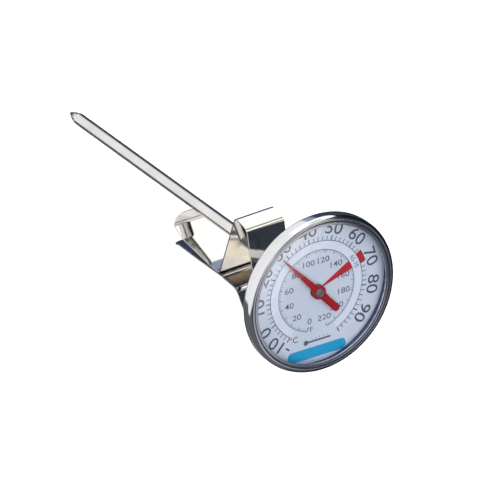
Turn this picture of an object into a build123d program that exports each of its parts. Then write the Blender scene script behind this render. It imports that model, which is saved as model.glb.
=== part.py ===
"""Pocket dial thermometer with a bimetal stem and a sliding sheet-steel jar clip.

Frame: Z runs along the stem, +Z out of the dial's front, +Y to twelve o'clock, +X to three o'clock.
Origin: on the stem axis, at the shoulder where the stem leaves the calibration nut.
All sizes in millimetres.
"""
from build123d import *
import math
import os

os.makedirs("parts", exist_ok=True)

# ---- driving dimensions: stem ----
STEM_R = 1.8
STEM_BORE_R = 1.5
STEM_TIP_Z = -125.1
TIP_CONE = 5.6
TIP_NOSE_R = 0.35
TIP_SPIGOT = 1.2

# ---- driving dimensions: head ----
CASE_R = 23.0
SHEET = 0.5
WALL_RISE = 3.1
SHOULDER_R = 1.25
BACK_CORNER_R = 1.3
RIM_R = 21.5
BOSS_R = 8.0
BOSS_DEPTH = 3.0
BOSS_BEND_R = 1.0
BOSS_ROOT_R = 0.25
NUT_FLATS = 9.0
NUT_HEIGHT = 4.0
NUT_SEAT = 2.0
NUT_CHAMFER = 0.1
SEAL_THICKNESS = 0.5
COLLAR_NECK_R = 2.8
COLLAR_FLANGE_R = 5.0
COLLAR_FLANGE = 0.8
COLLAR_HEAD = 1.0
SPRING_WASHER_HEIGHT = 0.5
SPRING_WASHER_SHEET = 0.25
DIAL_THICKNESS = 0.5
DIAL_R = 21.7
DIAL_HOLE_R = 1.9
SPACER_BORE_R = 21.6
SPACER_R = 22.4
SPACER_HEIGHT = 1.95
GASKET_THICKNESS = 0.25
LENS_R = 22.1
LENS_THICKNESS = 0.5
LIP_R = 20.3
LIP_HEIGHT = 0.35
LIP_EDGE_R = 0.1
RUNNING_GAP = 0.05

# ---- driving dimensions: pointer and movement ----
POINTER_DEGREES = -41.0  # clockwise from twelve o'clock
POINTER_TIP_R = 17.0
POINTER_TAIL_R = 9.1
POINTER_ROOT_WIDTH = 1.9
POINTER_TIP_WIDTH = 0.35
POINTER_TAIL_WIDTH = 2.0
POINTER_DISC_R = 2.0
POINTER_SHEET = 0.2
POINTER_RISE = 1.35
HUB_R = 1.0
HUB_DROP = 0.4
HUB_STAND = 0.4
CAP_R = 1.25
CAP_CROWN = 0.35
CAP_EDGE_R = 0.2
SPINDLE_R = 0.4
COIL_R = 1.15
COIL_WIRE_WIDTH = 0.9
COIL_WIRE_THICKNESS = 0.16
COIL_PITCH = 1.5
COIL_TURNS = 28
COIL_BOTTOM_Z = -115.5
COIL_COLLET_HEIGHT = 3.0
COLLET_R = 0.95
BUSH_LENGTH = 4.0
BUSH_FLANGE = 0.4
BUSH_CLEAR_OF_COLLET = 2.0
ANCHOR_LENGTH = 2.0
ANCHOR_SLOT_DEPTH = 1.0

# ---- driving dimensions: clip, corners as (offset from the stem axis, height) ----
CLIP_WIDTH = 12.0
CLIP_TURN = 2.5  # degrees about the stem, where it was left
CLIP_SHEET = 0.4
CLIP_HOLE_GAP = 0.05
CLIP_HOLE_REACH = 40.0
LEAF_CORNERS = ((-3.1, -56.9), (-6.1, -56.6), (-8.55, -52.4), (-10.55, -38.5))
LEAF_BEND_RADII = (1.2, 3.0, 25.0)
THROAT_OFFSET = -10.8
THROAT_BEND_R = 1.6
LEFT_LEG_Z = -27.9
LEFT_LEG_LEAN = 26.0
TOP_PLATE_OFFSET = 11.2
TOP_PLATE_DROP = 1.5
TOP_BEND_RADII = (2.0, 2.2)
RIGHT_LEG_Z = -15.0
RIGHT_LEG_LEAN = 8.5
HEEL_OFFSET = -24.0
HEEL_BEND_R = 1.5
HEEL_GAP_DEGREES = 12.0
JAW_FLARE_CORNERS = ((-18.0, -20.7), (-12.4, -24.5))
JAW_FACE_CORNERS = ((-11.75, -33.0), (-11.95, -44.0), (-11.9, -55.2), (-12.9, -58.5))
JAW_BEND_RADII = (4.0, 3.0, 12.0, 12.0, 3.0)
LEAF_END_R = 3.5
JAW_END_R = 2.5
END_CUT_DEPTH = 4.0

# ---- levels up the head, from the nut's lower face ----
boss_z = NUT_HEIGHT + SEAL_THICKNESS
back_z = boss_z + BOSS_DEPTH
dial_z = back_z + SHEET
dial_face_z = dial_z + DIAL_THICKNESS
spacer_top_z = dial_face_z + SPACER_HEIGHT
lens_z = spacer_top_z + GASKET_THICKNESS
lens_top_z = lens_z + LENS_THICKNESS
shoulder_z = back_z + WALL_RISE
rim_top_z = shoulder_z + SHOULDER_R
collar_flange_z = boss_z + SHEET + SPRING_WASHER_HEIGHT
collar_top_z = collar_flange_z + COLLAR_FLANGE + COLLAR_HEAD
cone_z = STEM_TIP_Z + TIP_CONE
coil_top_z = COIL_BOTTOM_Z + COIL_PITCH * COIL_TURNS
collet_z = coil_top_z + COIL_WIRE_WIDTH / 2
pointer_z = dial_face_z + POINTER_RISE
hub_top_z = pointer_z + HUB_STAND


def turned(outline):
    """Revolve a closed outline, drawn as radius and height, about the stem axis."""
    return revolve(Plane.XZ * make_face(outline), Axis.Z)


def turned_corners(*corners):
    """Revolve a polygon of (radius, height) corners about the stem axis."""
    return turned(Polyline(*corners, close=True))


def ring(outer, inner, low, high):
    return turned_corners((inner, low), (outer, low), (outer, high), (inner, high))


def bent_sheet(corners, radii, thickness, side):
    """Closed outline of a sheet that follows the corners with rounded bends."""
    path = FilletPolyline(*corners, radius=radii)
    return offset(path, amount=thickness, side=side, closed=True)


# ---------------------------------------------------------------- stem body
def stem_tube():
    return ring(STEM_R, STEM_BORE_R, cone_z, collar_top_z)


def probe_tip():
    nose_z = STEM_TIP_Z + TIP_NOSE_R
    outline = Curve() + [
        Line((0, cone_z + TIP_SPIGOT), (STEM_BORE_R, cone_z + TIP_SPIGOT)),
        Line((STEM_BORE_R, cone_z + TIP_SPIGOT), (STEM_BORE_R, cone_z)),
        Line((STEM_BORE_R, cone_z), (STEM_R, cone_z)),
        Line((STEM_R, cone_z), (TIP_NOSE_R, nose_z)),
        CenterArc((0, nose_z), TIP_NOSE_R, 0, -90),
        Line((0, STEM_TIP_Z), (0, cone_z + TIP_SPIGOT)),
    ]
    return turned(outline)


def coil_anchor():
    """Plug pressed in the tube, with a slot that takes the coil's lower end."""
    low = COIL_BOTTOM_Z - ANCHOR_LENGTH - COIL_WIRE_WIDTH / 2
    high = COIL_BOTTOM_Z - COIL_WIRE_WIDTH / 2
    plug = ring(STEM_BORE_R, SPINDLE_R, low, high)
    slot = Pos(0, 0, high) * Box(2 * STEM_R, COIL_WIRE_THICKNESS * 2, 2 * ANCHOR_SLOT_DEPTH)
    return plug - slot


def bimetal_coil():
    """Flat bimetal strip wound as a helix, its lower end held by the anchor."""
    path = Helix(COIL_PITCH, COIL_PITCH * COIL_TURNS, COIL_R, center=(0, 0, COIL_BOTTOM_Z))
    start = Plane(origin=path @ 0, x_dir=(1, 0, 0), z_dir=path % 0)
    section = start * Rectangle(COIL_WIRE_THICKNESS, COIL_WIRE_WIDTH)
    return sweep(section, path=path, is_frenet=True)


def guide_bush(low):
    return ring(STEM_BORE_R, SPINDLE_R + RUNNING_GAP, low, low + BUSH_LENGTH)


def upper_guide_bush():
    flange = ring(STEM_R, SPINDLE_R + RUNNING_GAP, collar_top_z, collar_top_z + BUSH_FLANGE)
    return guide_bush(collar_top_z - BUSH_LENGTH) + flange


def stem_collar():
    """Flanged collar pressed on the tube: it clamps the case back against the nut."""
    flange_top = collar_flange_z + COLLAR_FLANGE
    return turned_corners(
        (STEM_R, NUT_SEAT),
        (COLLAR_NECK_R, NUT_SEAT),
        (COLLAR_NECK_R, collar_flange_z),
        (COLLAR_FLANGE_R, collar_flange_z),
        (COLLAR_FLANGE_R, flange_top),
        (COLLAR_NECK_R, flange_top),
        (COLLAR_NECK_R, collar_top_z),
        (STEM_R, collar_top_z),
    )


def spring_washer():
    """Dished washer between the case back and the collar, which sets the turning friction."""
    low, high = boss_z + SHEET, collar_flange_z
    inner, outer = COLLAR_NECK_R + RUNNING_GAP, COLLAR_FLANGE_R
    return turned_corners(
        (inner, high - SPRING_WASHER_SHEET),
        (outer, low),
        (outer, low + SPRING_WASHER_SHEET),
        (inner, high),
    )


def seal_washer():
    return ring(NUT_FLATS / 2, COLLAR_NECK_R + RUNNING_GAP, NUT_HEIGHT, boss_z)


def calibration_nut():
    """Hexagon nut with chamfered corners and a counterbore for the collar's neck."""
    hexagon = extrude(RegularPolygon(NUT_FLATS / 2, 6, major_radius=False), NUT_HEIGHT)
    corner_r = NUT_FLATS / 2 / math.cos(math.radians(30))
    chamfer_r = NUT_FLATS / 2 - NUT_CHAMFER
    drop = (corner_r - chamfer_r) * math.tan(math.radians(30))
    envelope = turned_corners(
        (0, 0),
        (chamfer_r, 0),
        (corner_r, drop),
        (corner_r, NUT_HEIGHT - drop),
        (chamfer_r, NUT_HEIGHT),
        (0, NUT_HEIGHT),
    )
    bore = Cylinder(STEM_R, 3 * NUT_HEIGHT)
    seat = Pos(0, 0, NUT_SEAT) * Cylinder(
        COLLAR_NECK_R, NUT_HEIGHT, align=(Align.CENTER, Align.CENTER, Align.MIN)
    )
    return (hexagon & envelope) - bore - seat


# ---------------------------------------------------------------- head body
def case_shell():
    """Drawn cup: central boss, flat back, straight wall and a shoulder rolled in over the bezel."""
    corners = (
        (COLLAR_NECK_R + RUNNING_GAP, boss_z),
        (BOSS_R, boss_z),
        (BOSS_R, back_z),
        (CASE_R, back_z),
        (CASE_R, rim_top_z),
        (RIM_R, rim_top_z),
    )
    radii = (BOSS_BEND_R, BOSS_ROOT_R, BACK_CORNER_R, SHOULDER_R)
    return turned(bent_sheet(corners, radii, SHEET, Side.LEFT))


def bezel_ring():
    """Flat lip ring on the lens, its foot held under the case's rolled shoulder."""
    lip_outer = RIM_R - RUNNING_GAP
    foot_outer = CASE_R - SHOULDER_R - RUNNING_GAP
    foot_top = rim_top_z - SHEET
    lip_top = lens_top_z + LIP_HEIGHT
    edge_r, edge_z = LIP_R + LIP_EDGE_R, lip_top - LIP_EDGE_R
    outline = Curve() + [
        Line((LIP_R, lens_top_z), (LIP_R, edge_z)),
        CenterArc((edge_r, edge_z), LIP_EDGE_R, 180, -90),
        Line((edge_r, lip_top), (lip_outer, lip_top)),
        Line((lip_outer, lip_top), (lip_outer, foot_top)),
        Line((lip_outer, foot_top), (foot_outer, foot_top)),
        Line((foot_outer, foot_top), (foot_outer, lens_top_z)),
        Line((foot_outer, lens_top_z), (LIP_R, lens_top_z)),
    ]
    return turned(outline)


def lens():
    return extrude(Plane.XY.offset(lens_z) * Circle(LENS_R), LENS_THICKNESS)


def lens_gasket():
    return ring(LENS_R, SPACER_BORE_R, spacer_top_z, lens_z)


def spacer_ring():
    return ring(SPACER_R, SPACER_BORE_R, dial_face_z, spacer_top_z)


def dial_plate():
    return ring(DIAL_R, DIAL_HOLE_R, dial_z, dial_face_z)


# ---------------------------------------------------------------- pointer body
def pointer_blade():
    """Blade drawn towards twelve o'clock, then turned to its reading."""
    half_root, half_tip = POINTER_ROOT_WIDTH / 2, POINTER_TIP_WIDTH / 2
    half_tail = POINTER_TAIL_WIDTH / 2
    blade = make_face(
        Polyline(
            (-half_root, 0),
            (half_root, 0),
            (half_tip, POINTER_TIP_R),
            (-half_tip, POINTER_TIP_R),
            close=True,
        )
    )
    tail_length = POINTER_TAIL_R - half_tail
    tail = Pos(0, -tail_length / 2) * Rectangle(POINTER_TAIL_WIDTH, tail_length)
    tail_end = Pos(0, -tail_length) * Circle(half_tail)
    outline = blade + tail + tail_end + Circle(POINTER_DISC_R) - Circle(HUB_R)
    sheet = extrude(Plane.XY.offset(pointer_z) * outline, POINTER_SHEET)
    return Rot(0, 0, -POINTER_DEGREES) * sheet


def pointer_hub():
    return ring(HUB_R, SPINDLE_R, pointer_z - HUB_DROP, hub_top_z)


def pointer_cap():
    """Cap over the hub and the spindle's end, with a softened top edge."""
    low = pointer_z + POINTER_SHEET
    top = hub_top_z + CAP_CROWN
    edge_r, edge_z = CAP_R - CAP_EDGE_R, top - CAP_EDGE_R
    outline = Curve() + [
        Line((0, hub_top_z), (HUB_R, hub_top_z)),
        Line((HUB_R, hub_top_z), (HUB_R, low)),
        Line((HUB_R, low), (CAP_R, low)),
        Line((CAP_R, low), (CAP_R, edge_z)),
        CenterArc((edge_r, edge_z), CAP_EDGE_R, 0, 90),
        Line((edge_r, top), (0, top)),
        Line((0, top), (0, hub_top_z)),
    ]
    return turned(outline)


def pointer_spindle():
    return extrude(Plane.XY.offset(collet_z) * Circle(SPINDLE_R), hub_top_z - collet_z)


def coil_collet():
    """Sleeve on the spindle's lower end, which takes the coil's upper end."""
    return ring(COLLET_R, SPINDLE_R, collet_z, collet_z + COIL_COLLET_HEIGHT)


# ---------------------------------------------------------------- clip bodies
def on_leg(leg_z, lean, offset_y):
    """Height of a leg that crosses the stem axis at leg_z, at an offset from the axis."""
    return leg_z + offset_y * math.tan(math.radians(lean))


def clip_corners():
    """Corners of the strip in (offset, height), from the leaf's curled end to the jaw's tip."""
    top_right = TOP_PLATE_OFFSET - TOP_PLATE_DROP
    loop = (
        (THROAT_OFFSET, on_leg(LEFT_LEG_Z, LEFT_LEG_LEAN, THROAT_OFFSET)),
        (TOP_PLATE_OFFSET, on_leg(LEFT_LEG_Z, LEFT_LEG_LEAN, TOP_PLATE_OFFSET)),
        (top_right, on_leg(RIGHT_LEG_Z, -RIGHT_LEG_LEAN, top_right)),
        (HEEL_OFFSET, on_leg(RIGHT_LEG_Z, -RIGHT_LEG_LEAN, HEEL_OFFSET)),
    )
    return LEAF_CORNERS + loop + JAW_FLARE_CORNERS + JAW_FACE_CORNERS


CLIP_BEND_RADII = LEAF_BEND_RADII + (THROAT_BEND_R,) + TOP_BEND_RADII + (HEEL_BEND_R,) + JAW_BEND_RADII
HEEL_CORNER = len(LEAF_CORNERS) + 3


def bend_centre(before, corner, after, radius):
    """Centre of the arc that rounds a corner."""
    corner = Vector(*corner)
    back = (Vector(*before) - corner).normalized()
    ahead = (Vector(*after) - corner).normalized()
    half_angle = math.radians(back.get_angle(ahead)) / 2
    return corner + (back + ahead).normalized() * (radius / math.sin(half_angle))


def heel_axis():
    """Centre of the heel bend, in (offset, height): the jaw flexes about it."""
    corners = clip_corners()
    before, corner, after = corners[HEEL_CORNER - 1 : HEEL_CORNER + 2]
    return bend_centre(before, corner, after, HEEL_BEND_R)


def corner_waste(radius, width, reach):
    """What rounding takes off the two end corners of a strip that ends at y = 0."""
    beyond = 1.0
    square = Pos(0, (beyond - radius) / 2) * Rectangle(width + beyond, radius + beyond)
    rounds = [Pos(side * (width / 2 - radius), -radius) * Circle(radius) for side in (-1, 1)]
    middle = Pos(0, -radius / 2) * Rectangle(width - 2 * radius, radius)
    return extrude(square - rounds - middle, reach)


def clip_strip(first, last):
    """The bent strip between two of its corners, over its full width."""
    corners = clip_corners()[first : last + 1]
    outline = make_face(bent_sheet(corners, CLIP_BEND_RADII[first : last - 1], CLIP_SHEET, Side.LEFT))
    return extrude(Plane.YZ * outline, CLIP_WIDTH / 2, both=True)


def heel_gap():
    """Wedge about the heel axis that parts the spring from the jaw."""
    heel = heel_axis()
    corner_y, corner_z = clip_corners()[HEEL_CORNER]
    facing = math.degrees(math.atan2(corner_z - heel.Y, corner_y - heel.X))
    reach = 3 * HEEL_BEND_R
    half_mouth = reach * math.tan(math.radians(HEEL_GAP_DEGREES / 2))
    wedge = make_face(Polyline((0, 0), (reach, half_mouth), (reach, -half_mouth), close=True))
    placed = Pos(heel.X, heel.Y) * Rot(0, 0, facing) * wedge
    return extrude(Plane.YZ * placed, CLIP_WIDTH, both=True)


def largest(shape):
    return max(shape.solids(), key=lambda solid: solid.volume)


def clip_spring():
    """Leaf, throat, both legs with their stem holes, top plate and the heel's first half."""
    strip = clip_strip(0, HEEL_CORNER + 1)
    leaf_offset, leaf_z = LEAF_CORNERS[0]
    waste = corner_waste(LEAF_END_R, CLIP_WIDTH, 2 * END_CUT_DEPTH)
    strip -= Pos(0, leaf_offset, leaf_z - END_CUT_DEPTH) * waste
    strip -= Pos(0, 0, LEFT_LEG_Z) * Cylinder(STEM_R + CLIP_HOLE_GAP, CLIP_HOLE_REACH)
    return Rot(0, 0, CLIP_TURN) * largest(strip - heel_gap())


def clip_jaw():
    """The heel's second half, the flare and the flat jaw that presses towards the leaf."""
    strip = clip_strip(HEEL_CORNER - 1, len(clip_corners()) - 1)
    jaw_offset, jaw_z = JAW_FACE_CORNERS[-1]
    waste = Rot(-90, 0, 0) * corner_waste(JAW_END_R, CLIP_WIDTH, 2 * END_CUT_DEPTH)
    strip -= Pos(0, jaw_offset - END_CUT_DEPTH, jaw_z) * waste
    return Rot(0, 0, CLIP_TURN) * largest(strip - heel_gap())


NODES = {
    "stem_tube": stem_tube(),
    "probe_tip": probe_tip(),
    "coil_anchor": coil_anchor(),
    "bimetal_coil": bimetal_coil(),
    "lower_guide_bush": guide_bush(coil_top_z + COIL_COLLET_HEIGHT + BUSH_CLEAR_OF_COLLET),
    "upper_guide_bush": upper_guide_bush(),
    "stem_collar": stem_collar(),
    "spring_washer": spring_washer(),
    "seal_washer": seal_washer(),
    "calibration_nut": calibration_nut(),
    "case_shell": case_shell(),
    "bezel_ring": bezel_ring(),
    "lens": lens(),
    "lens_gasket": lens_gasket(),
    "spacer_ring": spacer_ring(),
    "dial_plate": dial_plate(),
    "pointer": pointer_blade(),
    "pointer_hub": pointer_hub(),
    "pointer_cap": pointer_cap(),
    "pointer_spindle": pointer_spindle(),
    "coil_collet": coil_collet(),
    "clip_spring": clip_spring(),
    "clip_jaw": clip_jaw(),
}

for name, shape in NODES.items():
    export_step(shape, f"parts/{name}.step")
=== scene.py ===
"""Looks of a pocket dial thermometer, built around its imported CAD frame.

The pieces are drawn in millimetres in the row frame and turn into metres when a mesh is made.
The grain of the materials is in metres, and so are the studio's floor, backdrop and cards.
Z runs along the stem and out of the dial, +Y is twelve o'clock and +X three o'clock.
"""

import math

import bmesh
import bpy
from mathutils import Matrix, Vector


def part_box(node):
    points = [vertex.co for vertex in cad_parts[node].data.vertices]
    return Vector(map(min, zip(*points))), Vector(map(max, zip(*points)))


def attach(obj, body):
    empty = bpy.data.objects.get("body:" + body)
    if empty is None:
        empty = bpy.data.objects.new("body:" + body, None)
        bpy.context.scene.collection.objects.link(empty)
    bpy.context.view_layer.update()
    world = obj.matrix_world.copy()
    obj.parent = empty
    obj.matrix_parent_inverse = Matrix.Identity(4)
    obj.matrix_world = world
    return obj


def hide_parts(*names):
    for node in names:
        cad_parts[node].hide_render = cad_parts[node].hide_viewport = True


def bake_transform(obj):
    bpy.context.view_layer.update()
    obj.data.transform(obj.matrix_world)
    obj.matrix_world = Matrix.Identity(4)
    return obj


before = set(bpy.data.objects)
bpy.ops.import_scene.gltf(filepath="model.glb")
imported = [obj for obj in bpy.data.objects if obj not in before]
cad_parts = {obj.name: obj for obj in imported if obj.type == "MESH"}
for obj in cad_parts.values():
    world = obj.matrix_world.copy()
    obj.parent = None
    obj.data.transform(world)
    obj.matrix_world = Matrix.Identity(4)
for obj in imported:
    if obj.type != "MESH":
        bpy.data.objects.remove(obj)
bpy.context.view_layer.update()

MM = 0.001
SHARP_DEGREES = 35.0
ARC_STEP_DEGREES = 7.5
SECTOR_STEP_DEGREES = 2.0
HEAD_SEGMENTS, DISC_SEGMENTS, STEM_SEGMENTS, CAP_SEGMENTS, HOLE_SEGMENTS = 288, 240, 128, 96, 72


def box_mm(node):
    """Lowest and highest corner of a CAD node, in millimetres."""
    low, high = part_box(node)
    return low / MM, high / MM


# ---------------------------------------------------------------- sizes read from the frame
case_low, case_high = box_mm("case_shell")
CASE_R = case_high.x
BOSS_Z = case_low.z
RIM_TOP_Z = case_high.z
lens_low, lens_high = box_mm("lens")
LENS_R = lens_high.x
LENS_Z, LENS_TOP_Z = lens_low.z, lens_high.z
dial_low, dial_high = box_mm("dial_plate")
DIAL_R = dial_high.x
DIAL_Z, DIAL_FACE_Z = dial_low.z, dial_high.z
BEZEL_TOP_Z = box_mm("bezel_ring")[1].z
tube_low, tube_high = box_mm("stem_tube")
STEM_R = tube_high.x
TIP_Z = box_mm("probe_tip")[0].z
pointer_low, pointer_high = box_mm("pointer")
POINTER_Z, POINTER_TOP_Z = pointer_low.z, pointer_high.z
cap_high = box_mm("pointer_cap")[1]
CAP_R, CAP_TOP_Z = cap_high.x, cap_high.z

# ---------------------------------------------------------------- sizes of the visual pieces
SHEET = 0.5
BOSS_R = 8.0
BACK_Z = 7.5
BORE_R = 2.85
RIM_R = 21.5
LIP_R = 20.3
DIAL_HOLE_R = 1.9
# bends of the case's sheet, from its boss to its rolled shoulder
BEND_RADII = (1.0, 0.25, 1.3, 1.25)
LIP_EDGE_R, LIP_FALL, LIP_CHAMFER, LIP_GAP = 0.1, 0.03, 0.04, 0.05
# width of the gap between lip and shoulder, and thickness of the black ring that paints the shade on its
# floor
GROOVE_WIDTH, GROOVE_DEPTH = 0.3, 0.05
WINDOW_EDGE, DIAL_EDGE = 0.08, 0.05

CLIP_WIDTH = 12.0
CLIP_SHEET = 0.4
CLIP_EDGE = 0.07
CLIP_TURN = 2.5
CLIP_HOLE_R = STEM_R + 0.05
CLIP_HOLE_REACH = (-50.0, -5.0)
LEFT_LEG_Z, LEFT_LEG_LEAN = -27.9, 26.0
RIGHT_LEG_Z, RIGHT_LEG_LEAN = -15.0, -8.5
TOP_LEFT, TOP_RIGHT = 11.2, 9.7
HEEL, THROAT = -24.0, -10.8
LEAF_CORNER_R, JAW_CORNER_R = 3.5, 2.5
HEEL_CORNER, HEEL_REACH = 7, 6.0

POINTER_DEGREES = -41.0
POINTER_TIP_R, POINTER_TAIL_R = 17.0, 9.1
POINTER_ROOT, POINTER_TIP, POINTER_TAIL = 1.9, 0.35, 2.0
POINTER_DISC_R = 2.0
POINTER_EDGE = 0.06
CAP_EDGE_R, CAP_CHAMFER, CAP_CROWN = 0.18, 0.05, 0.04
CAP_RING_OUTER, CAP_RING_INNER, CAP_RING_DEPTH = 0.72, 0.62, 0.1

TUBE_WALL, TUBE_GAP = 0.3, 0.01
SPIGOT_LENGTH = 0.8
SHOULDER_STEP, SHOULDER_LENGTH = 0.06, 0.12
CONE_STEP, CONE_START, CONE_SWELL = 0.02, 0.4, 0.18
NOSE_R = 0.35

# the two scales: degrees clockwise from twelve o'clock of zero, and per degree of temperature
CELSIUS_ZERO, CELSIUS_STEP = -116.6, 2.707
FAHRENHEIT_ZERO, FAHRENHEIT_STEP = -165.0, 1.5
CELSIUS_LOW, CELSIUS_HIGH, CELSIUS_LAST_NUMERAL = -10, 100, 90
FAHRENHEIT_LOW, FAHRENHEIT_HIGH = 0, 220
TICK_EVERY, LONG_TICK_EVERY = 2, 10
CELSIUS_NUMERAL_EVERY, FAHRENHEIT_NUMERAL_EVERY = 10, 20
CELSIUS_R, FAHRENHEIT_R = 14.6, 12.0
CELSIUS_LINE, FAHRENHEIT_LINE = 0.18, 0.16
# length and width of the long ticks and of the short ones
CELSIUS_TICKS = ((1.5, 0.34), (1.3, 0.22))
FAHRENHEIT_TICKS = ((1.0, 0.2), (0.6, 0.12))
NUMERAL_R, NUMERAL_HEIGHT, NUMERAL_WIDEN = 18.25, 3.6, 1.15
SMALL_NUMERAL_R, SMALL_NUMERAL_HEIGHT, SMALL_NUMERAL_WIDEN = 9.0, 1.7, 1.2
MINUS_SHIFT = 5.0  # degrees by which the numeral below zero stands past its tick
LETTER_HALF_DEPTH, LETTER_BOLD = 0.5, 0.004
CELSIUS_SIGN_HEIGHT, CELSIUS_SIGN_AT = 1.9, (-7.4, -13.0)
FAHRENHEIT_SIGN_HEIGHT, FAHRENHEIT_SIGN_AT = 1.6, (-2.2, -11.2)
ZONE_LOW, ZONE_HIGH = 65.0, 70.0
ZONE_GAP, ZONE_BLOCK, ZONE_LABEL_HEIGHT = 0.2, 1.8, 1.35
BADGE_SIZE, BADGE_AT = (18.6, 3.3, 1.5), (-0.2, -18.4)
ICON_TUBE, ICON_AT = (7.4, 0.55, 0.27), (0.6, -15.0)
ICON_BULB_R, ICON_BULB_X = 0.75, -3.6
ICON_MARK, ICON_MARK_Y, ICON_MARK_XS = (0.16, 0.5, 0.07), -14.2, (-1.6, -0.4, 0.8, 2.0, 3.2)
# thickness of each layer of print
INK_BAND, INK_BLACK, INK_COLOUR, INK_ZONE = 0.008, 0.016, 0.016, 0.024


# ---------------------------------------------------------------- outlines
def arc_points(centre, radius, start, end):
    """Points along an arc, from start to end degrees."""
    steps = max(2, math.ceil(abs(end - start) / ARC_STEP_DEGREES))
    angles = [math.radians(start + (end - start) * i / steps) for i in range(steps + 1)]
    return [(centre[0] + radius * math.cos(a), centre[1] + radius * math.sin(a)) for a in angles]


def rounded_path(corners, radii):
    """Path through corners with rounded bends, as (point, normal on its left) pairs."""
    corners = [Vector(c) for c in corners]
    path = []
    for i, corner in enumerate(corners):
        ahead = corners[min(i + 1, len(corners) - 1)] - corner
        back = corner - corners[max(i - 1, 0)]
        if i in (0, len(corners) - 1):
            along = (ahead if i == 0 else back).normalized()
            path.append((corner, Vector((-along.y, along.x))))
            continue
        back.normalize()
        ahead.normalize()
        turn = math.atan2(back.x * ahead.y - back.y * ahead.x, back.dot(ahead))
        radius = radii[i - 1]
        start = corner - back * (radius * math.tan(abs(turn) / 2))
        side = math.copysign(1.0, turn)
        left = Vector((-back.y, back.x))
        centre = start + left * radius * side
        steps = max(3, math.ceil(math.degrees(abs(turn)) / ARC_STEP_DEGREES))
        for k in range(steps + 1):
            normal = left.copy()
            normal.rotate(Matrix.Rotation(turn * k / steps, 2))
            path.append((centre - normal * radius * side, normal))
    return path


def sheet_outline(path, thickness):
    """Closed outline of a sheet that lies on the left of a path."""
    near = [tuple(point) for point, _ in path]
    far = [tuple(point + normal * thickness) for point, normal in path]
    return near + far[::-1]


# ---------------------------------------------------------------- meshes
def mesh_object(name, mesh):
    """A new object in the scene that shows a mesh or a curve."""
    piece = bpy.data.objects.new(name, mesh)
    bpy.context.scene.collection.objects.link(piece)
    return piece


def to_mesh(name, bm, sharp=SHARP_DEGREES):
    """Closes a bmesh drawn in millimetres into a smooth-shaded mesh in metres."""
    bmesh.ops.scale(bm, vec=(MM, MM, MM), verts=bm.verts)
    bmesh.ops.recalc_face_normals(bm, faces=bm.faces)
    mesh = bpy.data.meshes.new(name)
    bm.to_mesh(mesh)
    bm.free()
    mesh.polygons.foreach_set("use_smooth", [True] * len(mesh.polygons))
    mesh.set_sharp_from_angle(angle=math.radians(sharp))
    return mesh


def lathe(name, outline, segments=DISC_SEGMENTS, closed=True):
    """Turns an outline of (radius, height) about the stem axis. An open outline starts and ends on it."""
    bm = bmesh.new()
    rings = []
    for radius, height in outline:
        if radius < 1e-6:
            rings.append([bm.verts.new((0, 0, height))] * segments)
            continue
        turns = [2 * math.pi * k / segments for k in range(segments)]
        rings.append([bm.verts.new((radius * math.cos(t), radius * math.sin(t), height)) for t in turns])
    pairs = list(zip(rings, rings[1:] + rings[:1])) if closed else list(zip(rings, rings[1:]))
    for low, high in pairs:
        for k in range(segments):
            after = (k + 1) % segments
            corners = [low[k], low[after], high[after], high[k]]
            bm.faces.new(list(dict.fromkeys(corners)))
    return mesh_object(name, to_mesh(name, bm))


def add_plate(bm, outline, low, high):
    """Adds a flat plate with a given outline of (x, y) points to a bmesh."""
    bottom = [bm.verts.new((x, y, low)) for x, y in outline]
    top = [bm.verts.new((x, y, high)) for x, y in outline]
    bm.faces.new(bottom[::-1])
    bm.faces.new(top)
    for i in range(len(outline)):
        after = (i + 1) % len(outline)
        bm.faces.new((bottom[i], bottom[after], top[after], top[i]))


def clockwise(degrees, radius):
    """Point on the dial at degrees clockwise from twelve o'clock."""
    turn = math.radians(degrees)
    return radius * math.sin(turn), radius * math.cos(turn)


# ---------------------------------------------------------------- materials
NOISE_LOW, NOISE_HIGH = 0.3, 0.7


def node(tree, kind, **values):
    """Adds a shader node and sets its inputs, or its own settings where a name isn't an input."""
    made = tree.nodes.new(kind)
    for name, value in values.items():
        label = name.replace("_", " ").title()
        if label in made.inputs:
            made.inputs[label].default_value = value
        else:
            setattr(made, name, value)
    return made


def principled(name, colour, roughness, metallic=0.0, **sockets):
    """A new material with one Principled shader. Returns it with its tree and shader."""
    material = bpy.data.materials.new(name)
    material.use_nodes = True
    tree = material.node_tree
    shader = tree.nodes["Principled BSDF"]
    shader.inputs["Base Color"].default_value = (*colour, 1)
    shader.inputs["Roughness"].default_value = roughness
    shader.inputs["Metallic"].default_value = metallic
    for socket, value in sockets.items():
        shader.inputs[socket.replace("_", " ")].default_value = value
    return material, tree, shader


def stretched_noise(tree, scale, detail=4.0, coords="Object"):
    """Noise over coordinates scaled per axis: a small scale along an axis draws it into lines."""
    source = node(tree, "ShaderNodeTexCoord").outputs[coords]
    mapping = node(tree, "ShaderNodeMapping")
    mapping.inputs["Scale"].default_value = scale
    noise = node(tree, "ShaderNodeTexNoise", detail=detail, roughness=0.6)
    noise.inputs["Scale"].default_value = 1.0
    tree.links.new(source, mapping.inputs["Vector"])
    tree.links.new(mapping.outputs["Vector"], noise.inputs["Vector"])
    return noise.outputs["Fac"]


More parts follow.
